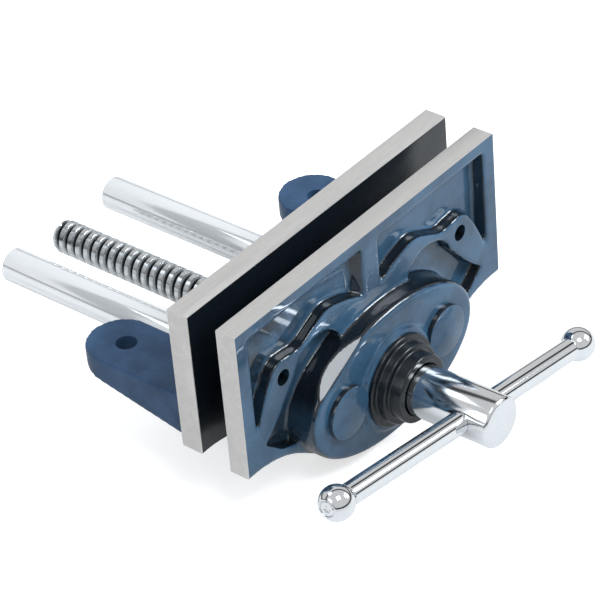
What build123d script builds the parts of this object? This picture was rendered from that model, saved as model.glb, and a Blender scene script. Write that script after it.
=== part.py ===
from build123d import *
import os

# Plain-screw woodworking vise, 7 inch jaws. Millimetres.
# Origin: midway between the two bench holes, on the plane of the ears' top faces.
# +X runs along the jaws, to the right of a person at the handle. -Y is towards that person.
# +Z is up. "Behind" means towards +Y, under the bench.

# ---- driving dimensions ----
JAW_WIDTH = 175.0
JAW_TOP = 51.5              # jaw tops above the ears' top faces
REAR_JAW_HEIGHT = 71.0      # at the jaw's ends
FRONT_JAW_HEIGHT = 73.5
REAR_JAW_THICKNESS = 10.7
FRONT_JAW_THICKNESS = 10.4
OPENING = 15.0              # between the jaws' faces, as modelled

ROD_DIAMETER = 16.0
ROD_SPACING = 68.0
ROD_DEPTH = 68.5            # rod axes below the jaw tops
ROD_REACH = 158.0           # rod ends behind the rear jaw's face
SCREW_DEPTH = 73.0          # screw axis below the jaw tops
SCREW_DIAMETER = 16.0
SCREW_PITCH = 5.0
SCREW_REACH = 160.0         # screw end behind the rear jaw's face
THREAD_DEPTH = 2.2
NECK_DIAMETER = 12.0

EAR_SETBACK = 59.0          # bench holes behind the rear jaw's face
EAR_HOLE_INSET = 21.9       # bench holes in from the jaw's ends
EAR_HOLE_DIAMETER = 9.5
EAR_WIDTH = 31.2
EAR_TIP_SETBACK = 3.0       # middle of the rounded tip behind the bench hole
EAR_TIP_THICKNESS = 9.0
EAR_ROOT_THICKNESS = 22.0

LINER_HOLE_INSET = 26.5     # liner holes in from the jaw's ends
LINER_HOLE_DIAMETER = 7.5
LINER_HOLE_DEPTH = 36.8     # below the jaw tops

HEAD_DIAMETER = 23.5
HEAD_STANDOUT = 41.7        # head beyond the stepped collar
BAR_DIAMETER = 10.0
BAR_LENGTH = 170.0          # between the middles of its knobs
BAR_SETBACK = 14.0          # bar axis behind the head's end face
BAR_TILT = 9.3              # degrees, right end lower
BAR_OFFSET = -8.6           # middle of the bar from the screw axis
KNOB_DIAMETER = 15.5
KNOB_LENGTH = 13.0
TAIL_DIAMETER = 7.0         # riveted end of the bar, in the knob

# ---- front jaw casting ----
SKIRT_BOTTOM = 101.5        # lowest point below the jaw tops
POCKET_DEPTH = 6.0
BOSS_STANDOUT = 9.3         # beyond the jaw's front face
BOSS_HALF_WIDTH = 55.5
BOSS_HALF_HEIGHT = 32.5
BOSS_DEPTH = 69.0           # middle of the boss below the jaw tops
ROD_PAD_WALL = 4.25         # around the rod
ROD_PAD_STANDOUT = 10.9
COLLAR_STEPS = ((19.5, 12.8), (13.5, 17.2), (8.0, 23.3))   # wider than the head, standout
POCKET_CORNER = 2.5
RIB_HALF_WIDTH = 4.0        # upright rib in the middle, between the upper recesses
RIB_DROPS = (6.0, 30.5)     # top and foot of the rib's sides below the jaw tops
# Edges of the recesses near the jaw's ends: (in from the jaw's end, drop below the jaw tops)
UPPER_SIDE = ((7.0, 6.0), (7.0, 57.0), (13.0, 43.0), (18.5, 33.5))
LOWER_SIDE = ((29.0, 47.0), (20.0, 57.0), (12.5, 63.5), (22.5, 72.0), (34.5, 76.0))
# Edges along the wavy band: (share of the way out to the liner hole, drop below the jaw tops)
UPPER_BAND = ((0.97, 29.5), (0.80, 29.0), (0.65, 25.0), (0.49, 21.5), (0.34, 23.0), (0.17, 27.0))
LOWER_BAND = ((0.36, 43.0), (0.43, 35.0), (0.54, 31.0), (0.69, 31.0), (0.82, 35.0), (0.89, 41.0))
LOWER_BOSS = ((0.65, 70.0), (0.33, 55.0))
SKIRT_SHAPE = ((0.91, 0.0), (0.72, 0.14), (0.52, 0.51), (0.32, 0.83), (0.0, 1.0))  # reach, fall

# ---- rear jaw casting ----
HOUSING_REACH = 46.0        # bosses behind the rear jaw's face
NUT_HOUSING_WALL = 7.0      # around the nut
ROD_BOSS_WALL = 6.0         # around each rod
REAR_SKIRT_BOTTOM = 99.0
WEB_REACH = 36.0
WEB_TOP = -2.0
WEB_THICKNESS = 8.0

# ---- fits and small hardware ----
RUNNING = 0.05              # radial clearance of a running fit
LOOSE = 0.5                 # radial clearance around parts that only pass
FACE_GAP = 0.1              # between faces that turn on each other
PASSAGE = 1.0               # radial clearance where the thread passes the rear jaw
ROD_SEAT = 17.0             # rod's length inside the front jaw
ROD_PIN_DIAMETER = 4.0
ROD_PIN_LENGTH = 33.0
HEAD_BORE_DEPTH = 26.0
HEAD_PIN_DIAMETER = 4.0
HEAD_PIN_LENGTH = 19.0
HEAD_PIN_SETBACK = 11.0     # from the head's inner end
HEAD_RECESS = 6.0           # counterbore in the collar for the head
WASHER_THICKNESS = 2.0
RETAINER_DIAMETER = 25.0
RETAINER_LENGTH = 9.9
RETAINER_RECESS = 14.0      # counterbore in the front jaw's back
RETAINER_PIN_DIAMETER = 3.0
THREAD_START = 3.0          # behind the front jaw's face
NUT_WALL = 5.0              # around the thread
NUT_LENGTH = 26.0
NUT_FLANGE_GAP = 1.0        # between the nut's flange and the rods beside it
NUT_FLANGE_HEIGHT = 30.0
NUT_FLANGE_THICKNESS = 4.0
NUT_SCREW_SPACING = 36.0
NUT_SCREW_DIAMETER = 5.0
NUT_SCREW_LENGTH = 12.0
NUT_SCREW_HEAD = 8.5
EDGE = 0.8                  # chamfer on bar ends

# ---- places worked out from the sizes ----
REAR_FACE = -EAR_SETBACK                                # rear jaw's gripping face
REAR_BACK = REAR_FACE + REAR_JAW_THICKNESS
FRONT_FACE = REAR_FACE - OPENING                        # front jaw's gripping face
RIM = FRONT_FACE - FRONT_JAW_THICKNESS                  # front jaw's front face
ROD_Z = JAW_TOP - ROD_DEPTH
SCREW_Z = JAW_TOP - SCREW_DEPTH
COLLAR_FRONT = RIM - COLLAR_STEPS[-1][1]
HEAD_END = COLLAR_FRONT - HEAD_STANDOUT
HEAD_START = COLLAR_FRONT + HEAD_RECESS - WASHER_THICKNESS - 2 * FACE_GAP
BAR_Y = HEAD_END + BAR_SETBACK
ROD_END = REAR_FACE + ROD_REACH
SCREW_END = REAR_FACE + SCREW_REACH
ROD_FRONT = FRONT_FACE - ROD_SEAT
HOUSING_BACK = REAR_FACE + HOUSING_REACH
RETAINER_FRONT = FRONT_FACE - RETAINER_RECESS + WASHER_THICKNESS + 2 * FACE_GAP
NUT_DIAMETER = SCREW_DIAMETER + 2 * NUT_WALL
NUT_FLANGE_WIDTH = ROD_SPACING - ROD_DIAMETER - 2 * NUT_FLANGE_GAP
HALF = JAW_WIDTH / 2
EAR_X = HALF - EAR_HOLE_INSET
LINER_X = HALF - LINER_HOLE_INSET
SIDES = (-1, 1)


# ---- helpers ----
def facing_front(y):
    """Plane across the screw axis: its X is +X, its Y is +Z and it faces -Y."""
    return Plane((0, y, 0), x_dir=(1, 0, 0), z_dir=(0, -1, 0))


def slab(sketch, y_behind, y_front):
    """The sketch, drawn as seen from the front, as a solid between two places along Y."""
    return extrude(facing_front(y_behind) * sketch, y_behind - y_front)


def bar_along_y(diameter, y_behind, y_front, x=0.0, z=0.0):
    """A round bar or a round hole along Y."""
    return slab(Pos(x, z) * Circle(diameter / 2), y_behind, y_front)


def at_screw(diameter, y_behind, y_front):
    """A round bar or a round hole on the screw axis."""
    return bar_along_y(diameter, y_behind, y_front, 0, SCREW_Z)


def ring(outer, inner, y_behind, y_front):
    """A washer or collar on the screw axis."""
    return at_screw(outer, y_behind, y_front) - at_screw(inner, y_behind, y_front)


def on_both_sides(shape):
    """The shape and its mirror image in the vise's middle plane."""
    return shape + mirror(shape, Plane.YZ)


def region(points, corner=0.0):
    """A flat shape from points (x from the middle, drop below the jaw tops), its corners rounded."""
    shape = make_face(Polyline([(x, JAW_TOP - drop) for x, drop in points], close=True))
    if corner:
        shape = offset(offset(shape, amount=-corner, kind=Kind.ARC), amount=corner, kind=Kind.ARC)
    return shape


def jaw_outline(end_height, skirt_bottom):
    """Jaw seen from the front: square ends, and a skirt that sweeps down to the screw."""
    end_z = JAW_TOP - end_height
    low_z = JAW_TOP - skirt_bottom
    fall = end_z - low_z
    skirt = [(HALF * reach, end_z - fall * drop) for reach, drop in SKIRT_SHAPE]
    edges = [
        Line((0, JAW_TOP), (HALF, JAW_TOP)),
        Line((HALF, JAW_TOP), (HALF, end_z)),
        Line((HALF, end_z), skirt[0]),
        Spline(*skirt, tangents=((-1, 0), (-1, 0))),
        Line((0, low_z), (0, JAW_TOP)),
    ]
    half = make_face(Wire(edges))
    return half + mirror(half, Plane.YZ)


def from_end(points):
    return [(HALF - inset, drop) for inset, drop in points]


def along_band(points):
    return [(share * LINER_X, drop) for share, drop in points]


def upper_pocket():
    """Right upper recess of the front jaw, above the wavy band."""
    rib = [(RIB_HALF_WIDTH, drop) for drop in reversed(RIB_DROPS)]
    return region(rib + from_end(UPPER_SIDE) + along_band(UPPER_BAND), POCKET_CORNER)


def lower_pocket():
    """Right lower recess of the front jaw, between the band and the boss."""
    outline = along_band(LOWER_BAND) + from_end(LOWER_SIDE) + along_band(LOWER_BOSS)
    return region(outline, POCKET_CORNER)


def liner_holes(y_behind, y_front):
    """The two holes that hold a wooden liner on a jaw."""
    z = JAW_TOP - LINER_HOLE_DEPTH
    hole = bar_along_y(LINER_HOLE_DIAMETER, y_behind, y_front, LINER_X, z)
    return on_both_sides(hole)


# ---- castings ----
def rear_jaw():
    outline = jaw_outline(REAR_JAW_HEIGHT, REAR_SKIRT_BOTTOM)
    body = slab(outline, REAR_BACK, REAR_FACE)
    body += at_screw(NUT_DIAMETER + 2 * NUT_HOUSING_WALL, HOUSING_BACK, REAR_BACK)
    rod_boss = ROD_DIAMETER + 2 * ROD_BOSS_WALL
    body += on_both_sides(bar_along_y(rod_boss, HOUSING_BACK, REAR_BACK, ROD_SPACING / 2, ROD_Z))
    flange_seat = Rectangle(NUT_FLANGE_WIDTH, NUT_FLANGE_HEIGHT)
    body += slab(Pos(0, SCREW_Z) * flange_seat, HOUSING_BACK, REAR_BACK)
    body += bench_web() + on_both_sides(bench_ear())
    rod_hole = bar_along_y(ROD_DIAMETER + 2 * RUNNING, HOUSING_BACK, REAR_FACE, ROD_SPACING / 2, ROD_Z)
    body -= on_both_sides(rod_hole)
    body -= at_screw(SCREW_DIAMETER + 2 * PASSAGE, HOUSING_BACK, REAR_FACE)
    body -= at_screw(NUT_DIAMETER, HOUSING_BACK, HOUSING_BACK - NUT_LENGTH)
    body -= liner_holes(REAR_BACK, REAR_FACE)
    for x in nut_screw_places():
        body -= bar_along_y(NUT_SCREW_DIAMETER, HOUSING_BACK, HOUSING_BACK - NUT_SCREW_LENGTH, x, SCREW_Z)
    return body


def bench_web():
    """Shelf that ties the ears to the bosses."""
    middle_y = (REAR_BACK + REAR_FACE + WEB_REACH) / 2
    depth = REAR_FACE + WEB_REACH - REAR_BACK
    return Pos(0, middle_y, WEB_TOP - WEB_THICKNESS / 2) * Box(2 * EAR_X, depth, WEB_THICKNESS)


def bench_ear():
    """Right ear: a round-ended tongue, flat on top, that thins towards its tip."""
    straight = EAR_TIP_SETBACK - REAR_BACK
    tip_end = EAR_TIP_SETBACK + EAR_WIDTH / 2
    tongue = Pos(EAR_X, EAR_TIP_SETBACK - straight / 2) * Rectangle(EAR_WIDTH, straight)
    tongue += Pos(EAR_X, EAR_TIP_SETBACK) * Circle(EAR_WIDTH / 2)
    ear = extrude(tongue, -EAR_ROOT_THICKNESS)
    underside = Polyline(
        [(REAR_BACK, -EAR_ROOT_THICKNESS), (tip_end, -EAR_TIP_THICKNESS), (tip_end, -2 * EAR_ROOT_THICKNESS),
         (REAR_BACK, -2 * EAR_ROOT_THICKNESS)], close=True)
    cut = extrude(Plane.YZ * make_face(underside), JAW_WIDTH)
    hole = Pos(EAR_X, 0) * Circle(EAR_HOLE_DIAMETER / 2)
    return ear - cut - extrude(hole, -EAR_ROOT_THICKNESS)


def front_jaw():
    outline = jaw_outline(FRONT_JAW_HEIGHT, SKIRT_BOTTOM)
    body = slab(outline, FRONT_FACE, RIM)
    for pocket in (upper_pocket(), lower_pocket()):
        body -= on_both_sides(slab(pocket, RIM + POCKET_DEPTH, RIM))
    boss = Pos(0, JAW_TOP - BOSS_DEPTH) * Ellipse(BOSS_HALF_WIDTH, BOSS_HALF_HEIGHT)
    body += slab(boss, FRONT_FACE, RIM - BOSS_STANDOUT)
    body += on_both_sides(bar_along_y(
        ROD_DIAMETER + 2 * ROD_PAD_WALL, FRONT_FACE, RIM - ROD_PAD_STANDOUT, ROD_SPACING / 2, ROD_Z))
    for wider, standout in COLLAR_STEPS:
        body += at_screw(HEAD_DIAMETER + wider, FRONT_FACE, RIM - standout)
    body -= at_screw(NECK_DIAMETER + 2 * RUNNING, FRONT_FACE, COLLAR_FRONT)
    body -= at_screw(HEAD_DIAMETER + 2 * LOOSE, COLLAR_FRONT + HEAD_RECESS, COLLAR_FRONT)
    body -= at_screw(RETAINER_DIAMETER + 2 * LOOSE, FRONT_FACE, FRONT_FACE - RETAINER_RECESS)
    body -= on_both_sides(bar_along_y(ROD_DIAMETER, FRONT_FACE, ROD_FRONT, ROD_SPACING / 2, ROD_Z))
    body -= liner_holes(FRONT_FACE, RIM)
    return body - guide_rod_pins(FRONT_JAW_HEIGHT)


# ---- guide rods ----
def guide_rod(side):
    x = side * ROD_SPACING / 2
    rod = bar_along_y(ROD_DIAMETER, ROD_END, ROD_FRONT, x, ROD_Z)
    rod = chamfer(rod.edges().filter_by(GeomType.CIRCLE), EDGE)
    return rod - guide_rod_pins()


def guide_rod_pins(length=ROD_PIN_LENGTH):
    """Pins driven up through the boss and both rods, or the longer holes for them."""
    y = FRONT_FACE - ROD_SEAT / 2
    start = ROD_Z + ROD_DIAMETER / 2
    pin = Pos(ROD_SPACING / 2, y, start - length / 2) * Cylinder(ROD_PIN_DIAMETER / 2, length)
    return on_both_sides(pin)


# ---- screw ----
def lead_screw():
    neck_front = HEAD_START - HEAD_BORE_DEPTH
    thread_front = FRONT_FACE + THREAD_START
    body = at_screw(NECK_DIAMETER, thread_front, neck_front)
    body += threaded_length(thread_front, SCREW_END)
    return body - head_pin() - collar_pin()


def threaded_length(y_start, y_end):
    """Spindle thread, drawn as one profile turned about the screw axis."""
    crest = SCREW_DIAMETER / 2
    root = crest - THREAD_DEPTH
    crest_half = SCREW_PITCH * 0.24
    root_half = SCREW_PITCH * 0.14
    ridges = int((y_end - y_start) / SCREW_PITCH)
    points = [(0, y_start), (root, y_start)]
    for i in range(ridges, 0, -1):
        ridge = y_end - (i - 0.5) * SCREW_PITCH
        points += [(root, ridge - SCREW_PITCH / 2 + root_half), (crest, ridge - crest_half),
                   (crest, ridge + crest_half), (root, ridge + SCREW_PITCH / 2 - root_half)]
    points += [(root, y_end), (0, y_end)]
    profile = make_face(Polyline(points, close=True))
    return Pos(0, 0, SCREW_Z) * revolve(profile, Axis.Y)


def screw_head():
    head = at_screw(HEAD_DIAMETER, HEAD_START, HEAD_END)
    head = chamfer(head.edges().filter_by(GeomType.CIRCLE).sort_by(Axis.Y)[0], EDGE)
    head -= at_screw(NECK_DIAMETER, HEAD_START, HEAD_START - HEAD_BORE_DEPTH)
    head -= along_bar(Cylinder(BAR_DIAMETER / 2 + RUNNING, 2 * HEAD_DIAMETER), 0)
    return head - head_pin(HEAD_DIAMETER)


def head_pin(length=HEAD_PIN_LENGTH):
    """Pin driven from below through the head and the spindle's neck, or the longer hole for it."""
    highest = HEAD_PIN_LENGTH + EDGE - HEAD_DIAMETER / 2
    pin = Cylinder(HEAD_PIN_DIAMETER / 2, length, align=(Align.CENTER, Align.CENTER, Align.MAX))
    return Pos(0, HEAD_START - HEAD_PIN_SETBACK, SCREW_Z) * Rot(0, BAR_TILT, 0) * Pos(0, 0, highest) * pin


def head_washer():
    seat = COLLAR_FRONT + HEAD_RECESS - FACE_GAP
    return ring(HEAD_DIAMETER + LOOSE, NECK_DIAMETER + 2 * RUNNING, seat, seat - WASHER_THICKNESS)


def collar_washer():
    seat = FRONT_FACE - RETAINER_RECESS + FACE_GAP
    return ring(RETAINER_DIAMETER, NECK_DIAMETER + 2 * RUNNING, seat + WASHER_THICKNESS, seat)


def retaining_collar():
    back = RETAINER_FRONT + RETAINER_LENGTH
    return ring(RETAINER_DIAMETER, NECK_DIAMETER, back, RETAINER_FRONT) - collar_pin(2 * RETAINER_DIAMETER)


def collar_pin(length=RETAINER_DIAMETER - EDGE):
    """Pin driven right through the collar and the spindle's neck, or the longer hole for it."""
    middle = RETAINER_FRONT + RETAINER_LENGTH / 2
    return Pos(0, middle, SCREW_Z) * Cylinder(RETAINER_PIN_DIAMETER / 2, length)


# ---- nut ----
def nut_screw_places():
    return [side * NUT_SCREW_SPACING / 2 for side in SIDES]


def screw_nut():
    """Flanged nut. Its bore runs on the spindle's crests."""
    flange_back = HOUSING_BACK + NUT_FLANGE_THICKNESS
    flange = Pos(0, SCREW_Z) * RectangleRounded(NUT_FLANGE_WIDTH, NUT_FLANGE_HEIGHT, POCKET_CORNER)
    nut = slab(flange, flange_back, HOUSING_BACK)
    nut += at_screw(NUT_DIAMETER, HOUSING_BACK, HOUSING_BACK - NUT_LENGTH)
    nut -= at_screw(SCREW_DIAMETER + 2 * RUNNING, flange_back, HOUSING_BACK - NUT_LENGTH)
    for x in nut_screw_places():
        nut -= bar_along_y(NUT_SCREW_DIAMETER, flange_back, HOUSING_BACK, x, SCREW_Z)
    return nut


def nut_screws():
    flange_back = HOUSING_BACK + NUT_FLANGE_THICKNESS
    head_back = flange_back + NUT_SCREW_DIAMETER * 0.6
    screws = Part()
    for x in nut_screw_places():
        screws += bar_along_y(NUT_SCREW_DIAMETER, flange_back, HOUSING_BACK - NUT_SCREW_LENGTH, x, SCREW_Z)
        screws += bar_along_y(NUT_SCREW_HEAD, head_back, flange_back, x, SCREW_Z)
    return screws


# ---- handle bar ----
def along_bar(shape, distance):
    """Puts a shape drawn along Z on the bar's axis, so far to the right of the screw axis."""
    on_axis = Pos(0, BAR_Y, SCREW_Z) * Rot(0, 90 + BAR_TILT, 0)
    return on_axis * Pos(0, 0, distance) * shape


def tommy_bar():
    shank = Cylinder(BAR_DIAMETER / 2, BAR_LENGTH - KNOB_LENGTH)
    tails = Cylinder(TAIL_DIAMETER / 2, BAR_LENGTH + KNOB_LENGTH)
    return along_bar(shank + tails, BAR_OFFSET)


def bar_knob(side):
    ball = Sphere(KNOB_DIAMETER / 2) & Cylinder(KNOB_DIAMETER, KNOB_LENGTH)
    knob = ball - Cylinder(TAIL_DIAMETER / 2, KNOB_DIAMETER)
    return along_bar(knob, BAR_OFFSET + side * BAR_LENGTH / 2)


# ---- the vise ----
def make_parts():
    return {
        "rear_jaw": rear_jaw(),
        "screw_nut": screw_nut(),
        "nut_screws": nut_screws(),
        "front_jaw": front_jaw(),
        "guide_rod_left": guide_rod(-1),
        "guide_rod_right": guide_rod(1),
        "guide_rod_pins": guide_rod_pins(),
        "head_washer": head_washer(),
        "collar_washer": collar_washer(),
        "lead_screw": lead_screw(),
        "screw_head": screw_head(),
        "head_pin": head_pin(),
        "retaining_collar": retaining_collar(),
        "collar_pin": collar_pin(),
        "tommy_bar": tommy_bar(),
        "bar_knob_left": bar_knob(-1),
        "bar_knob_right": bar_knob(1),
    }


os.makedirs("parts", exist_ok=True)
for name, shape in make_parts().items():
    export_step(shape, f"parts/{name}.step")
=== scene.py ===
import math

import bmesh
import bpy
from bpy.props import FloatProperty, FloatVectorProperty, IntProperty, PointerProperty
from mathutils import Matrix, Vector


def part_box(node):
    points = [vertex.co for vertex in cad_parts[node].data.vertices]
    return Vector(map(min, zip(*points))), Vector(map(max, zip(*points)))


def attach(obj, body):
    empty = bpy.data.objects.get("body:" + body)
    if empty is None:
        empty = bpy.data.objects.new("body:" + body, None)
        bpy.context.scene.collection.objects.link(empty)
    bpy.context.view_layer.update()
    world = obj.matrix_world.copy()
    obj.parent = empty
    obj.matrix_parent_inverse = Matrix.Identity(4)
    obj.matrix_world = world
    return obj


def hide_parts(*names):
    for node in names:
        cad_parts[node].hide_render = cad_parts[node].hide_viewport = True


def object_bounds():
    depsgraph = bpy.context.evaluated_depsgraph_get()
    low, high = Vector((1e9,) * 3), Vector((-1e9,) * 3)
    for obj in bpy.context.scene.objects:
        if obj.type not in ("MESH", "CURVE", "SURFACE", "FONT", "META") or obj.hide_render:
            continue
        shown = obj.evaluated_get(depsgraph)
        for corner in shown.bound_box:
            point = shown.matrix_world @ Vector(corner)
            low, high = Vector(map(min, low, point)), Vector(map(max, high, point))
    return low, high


bl_info = {
    "name": "Woodworking Vise",
    "version": (1, 0, 0),
    "blender": (4, 5, 0),
    "location": "View3D > Sidebar > Vise",
    "description": "Builds a plain-screw woodworking vise on its packed frame",
    "category": "Object",
}

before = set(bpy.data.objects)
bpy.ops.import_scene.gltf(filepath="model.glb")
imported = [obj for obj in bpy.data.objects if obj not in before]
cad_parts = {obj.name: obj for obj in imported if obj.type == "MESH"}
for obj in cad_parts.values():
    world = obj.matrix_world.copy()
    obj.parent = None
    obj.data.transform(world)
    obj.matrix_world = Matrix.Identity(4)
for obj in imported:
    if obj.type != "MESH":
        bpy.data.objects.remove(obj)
CAD_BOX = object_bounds()

# Shapes are drawn in millimetres and brought to metres when a piece is finished.
MM = 0.001
CORNER, SOFT = "VECTOR", "AUTO"
LAID_BACK = Matrix.Rotation(math.pi / 2, 4, "X")  # brings what was made along Z to lie along Y


def node_box(name):
    """A frame node's lowest and highest corners in millimetres."""
    low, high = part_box(name)
    return low / MM, high / MM


FRONT_LOW, FRONT_HIGH = node_box("front_jaw")
REAR_LOW, REAR_HIGH = node_box("rear_jaw")
ROD_LOW, ROD_HIGH = node_box("guide_rod_right")
SCREW_LOW, SCREW_HIGH = node_box("lead_screw")
HEAD_LOW, HEAD_HIGH = node_box("screw_head")
NUT_LOW, NUT_HIGH = node_box("screw_nut")
BOLT_LOW, BOLT_HIGH = node_box("nut_screws")

# Where things are on the vise.
JAW_TOP = FRONT_HIGH.z
HALF = FRONT_HIGH.x
FRONT_FACE = FRONT_HIGH.y
COLLAR_FRONT = FRONT_LOW.y
REAR_FACE = REAR_LOW.y
ROD_X = (ROD_LOW.x + ROD_HIGH.x) / 2
ROD_Z = (ROD_LOW.z + ROD_HIGH.z) / 2
SCREW_Z = (SCREW_LOW.z + SCREW_HIGH.z) / 2
SCREW_RADIUS = (SCREW_HIGH.z - SCREW_LOW.z) / 2
LINER_X, LINER_Z = 61.0, JAW_TOP - 36.8
EAR_X = 65.6
HOUSING_BACK = NUT_HIGH.y - 4.0
BOLT_X = 18.0
BAR_Y = HEAD_LOW.y + 14.0

# Castings.
STOCK = 2.0  # left on the rough casting, to be machined off
# The lower edge, as shares of the half width and of the fall from the ends to the middle.
SKIRT = ((0.91, 0.0), (0.72, 0.14), (0.52, 0.51), (0.32, 0.83), (0.0, 1.0))
FRONT_END_DROP, FRONT_SKIRT_DROP = 73.5, 101.5
REAR_END_DROP, REAR_SKIRT_DROP = 71.0, 99.0
LINER_BOSS, LINER_HOLE = 8.6, 3.75
OVAL_WIDE, OVAL_HIGH, OVAL_DROP, OVAL_ROUND = 55.5, 32.5, 69.0, 2.2
FLAT_X, FLAT_Z, FLAT_DEPTH = -37.2, 6.6, 3.2
FLAT_WAY = (-0.40, -0.50, 0.77)
COLLAR_FOOT, COLLAR_FOOT_STANDOUT = 24.2, 1.6
COLLAR_STEPS = ((21.5, 12.8), (18.5, 17.2), (15.75, 23.3))  # radius, and distance before the rim
PAD_RADIUS, PAD_STANDOUT = 12.25, 11.7
NECK_BORE, WASHER_SEAT, WASHER_SEAT_DEPTH = 6.15, 12.28, 6.0
COLLAR_POCKET, COLLAR_POCKET_DEPTH = 13.05, 14
ROD_SOCKET, ROD_SOCKET_DEPTH = 8.05, 17
ROD_SLIDE, SCREW_CLEARANCE, NUT_SEAT, NUT_SEAT_DEPTH = 8.13, 9.05, 13.05, 26.1
HOUSING_RADIUS, GUIDE_RADIUS = 20, 14
EAR_RADIUS, EAR_HOLE, EAR_CENTRE_Y = 15.6, 4.75, 3.0
EAR_ROOT, EAR_TIP = 22.0, 9.0  # thickness at the jaw and at the tip

# Turned pieces.
ROD_RADIUS, NECK_RADIUS = 8.0, 5.95
NUT_BARREL, NUT_CLEARANCE, BOLT_HOLE = 13.0, 0.06, 2.52
BOLT_SHANK, BOLT_HEAD, BOLT_HEAD_TOP, BOLT_POINT = 2.48, 4.25, 3.2, 1.9
HEAD_CHAMFER, HEAD_SOCKET, HEAD_SOCKET_DEPTH = 1.1, 6.0, 26
BAR_REACH, BAR_OFFSET, BAR_TAIL, HALF_KNOB = 85.0, -8.6, 3.5, 6.5

# Both jaws carry three finishes: the enamel first, then these two.
# The last one is near-black painted shade on the gripping faces and on the front collar's steps.
GROUND, PAINTED_SHADE = 1, 2

# Camera and lights, in metres and degrees.
CAMERA_PLACE, CAMERA_LENS = (-0.80583, -0.76645, 0.79838), 186.56
CAMERA_AZIMUTH, CAMERA_ELEVATION, CAMERA_ROLL = -48.069, 36.418, -5.183
LIGHT_COLOUR = (0.88, 0.95, 1.0)
OVER_FRONT = (-0.03, -0.09, 0)


# ---- sizes and finishes ----
class VISE_PG_sizes(bpy.types.PropertyGroup):
    casting_grain: FloatProperty(
        name="Casting Grain", description="Finest detail kept in the castings' skin",
        default=0.0008, min=0.0004, unit="LENGTH")
    casting_ease: IntProperty(
        name="Casting Ease", description="How far the castings' corners are rounded over",
        default=7, min=1, max=30)
    jaw_thickness: FloatProperty(
        name="Jaw Thickness", description="Front jaw, from gripping face to front",
        default=0.0104, unit="LENGTH")
    rear_thickness: FloatProperty(
        name="Rear Jaw Thickness", description="Rear jaw, from gripping face to back",
        default=0.0107, unit="LENGTH")
    recess_depth: FloatProperty(
        name="Recess Depth", description="Depth of the front jaw's recesses",
        default=0.006, unit="LENGTH")
    boss_standout: FloatProperty(
        name="Boss Standout", description="Middle boss beyond the jaw's front",
        default=0.0093, unit="LENGTH")
    edge_break: FloatProperty(
        name="Edge Break", description="Small round on machined edges",
        default=0.0004, unit="LENGTH")
    thread_pitch: FloatProperty(
        name="Thread Pitch", description="Distance between thread ridges",
        default=0.005, unit="LENGTH")
    thread_depth: FloatProperty(
        name="Thread Depth", description="Depth of the thread groove",
        default=0.0022, unit="LENGTH")
    bar_diameter: FloatProperty(
        name="Bar Diameter", description="Sliding handle bar", default=0.010, unit="LENGTH")
    bar_tilt: FloatProperty(
        name="Bar Tilt", description="How far the bar's right end hangs lower",
        default=math.radians(9.3), unit="ROTATION")
    knob_diameter: FloatProperty(
        name="Knob Diameter", description="Knobs on the bar's ends",
        default=0.0155, unit="LENGTH")


def colour(name, description, default):
    return FloatVectorProperty(
        name=name, description=description, default=default, size=3, min=0, max=1,
        subtype="COLOR")


class VISE_PG_finishes(bpy.types.PropertyGroup):
    enamel: colour("Enamel", "Blue enamel on open faces", (0.037, 0.098, 0.175))
    # Near-black painted shade for steep walls, the left recesses' floors, the gripping faces and
    # the collar's steps.
    painted_shade_tint: colour("Painted Shade Enamel", "Painted shade on walls, gripping faces and collar", (0.005, 0.008, 0.012))
    ear_enamel: colour("Ear Enamel", "Thinner enamel on the bench ears", (0.036, 0.082, 0.165))
    ground_steel: colour("Ground Faces", "Machined edges of the jaws", (0.66, 0.64, 0.625))
    rod_steel: colour("Rod Steel", "Polished guide rods", (0.90, 0.925, 0.95))
    chrome: colour("Chrome", "Plated head, bar and knobs", (0.80, 0.82, 0.845))
    zinc: colour("Zinc", "Plated spindle", (0.74, 0.77, 0.79))
    # Colour towards the thread's roots, darker than the plating.
    root_tint: colour("Thread Root Tint", "Darker towards the thread's roots", (0.018, 0.021, 0.025))
    bronze: colour("Bronze", "Nut", (0.58, 0.36, 0.14))
    plain_steel: colour("Plain Steel", "Washers, pins and screws", (0.42, 0.43, 0.44))
    floor: colour("Floor", "Pale studio floor", (0.70, 0.70, 0.70))


def sizes():
    """The sizes that a user may change, in metres."""
    return bpy.context.scene.vise_sizes


def finishes():
    return bpy.context.scene.vise_finishes


# ---- shaping ----
def new_object(name, data):
    obj = bpy.data.objects.new(name, data)
    bpy.context.scene.collection.objects.link(obj)
    return obj


def solid(bm, name="shape"):
    """A plain object made from a bmesh, still in millimetres."""
    mesh = bpy.data.meshes.new(name)
    bm.to_mesh(mesh)
    bm.free()
    return new_object(name, mesh)


def drop(obj):
    bpy.data.objects.remove(obj, do_unlink=True)


def slab(points, y_back, y_front):
    """An outline of (x, z, kind) points seen from the front, drawn out between two places on Y."""
    curve = bpy.data.curves.new("outline", "CURVE")
    curve.dimensions = "2D"
    curve.fill_mode = "BOTH"
    curve.resolution_u = 8
    curve.extrude = abs(y_back - y_front) / 2
    line = curve.splines.new("BEZIER")
    line.bezier_points.add(len(points) - 1)
    line.use_cyclic_u = True
    for place, (x, z, kind) in zip(line.bezier_points, points):
        place.co = (x, z, 0)
        place.handle_left_type = place.handle_right_type = kind
    holder = new_object("outline", curve)
    bpy.context.view_layer.update()
    graph = bpy.context.evaluated_depsgraph_get()
    mesh = bpy.data.meshes.new_from_object(holder.evaluated_get(graph))
    bm = bmesh.new()
    bm.from_mesh(mesh)
    bmesh.ops.remove_doubles(bm, verts=bm.verts, dist=1e-3)
    lie = Matrix.Translation((0, (y_back + y_front) / 2, 0)) @ LAID_BACK
    bmesh.ops.transform(bm, matrix=lie, verts=bm.verts)
    bmesh.ops.recalc_face_normals(bm, faces=bm.faces)
    drop(holder)
    return bm


def mirrored(points):
    return [(-x, z, kind) for x, z, kind in reversed(points)]


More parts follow.
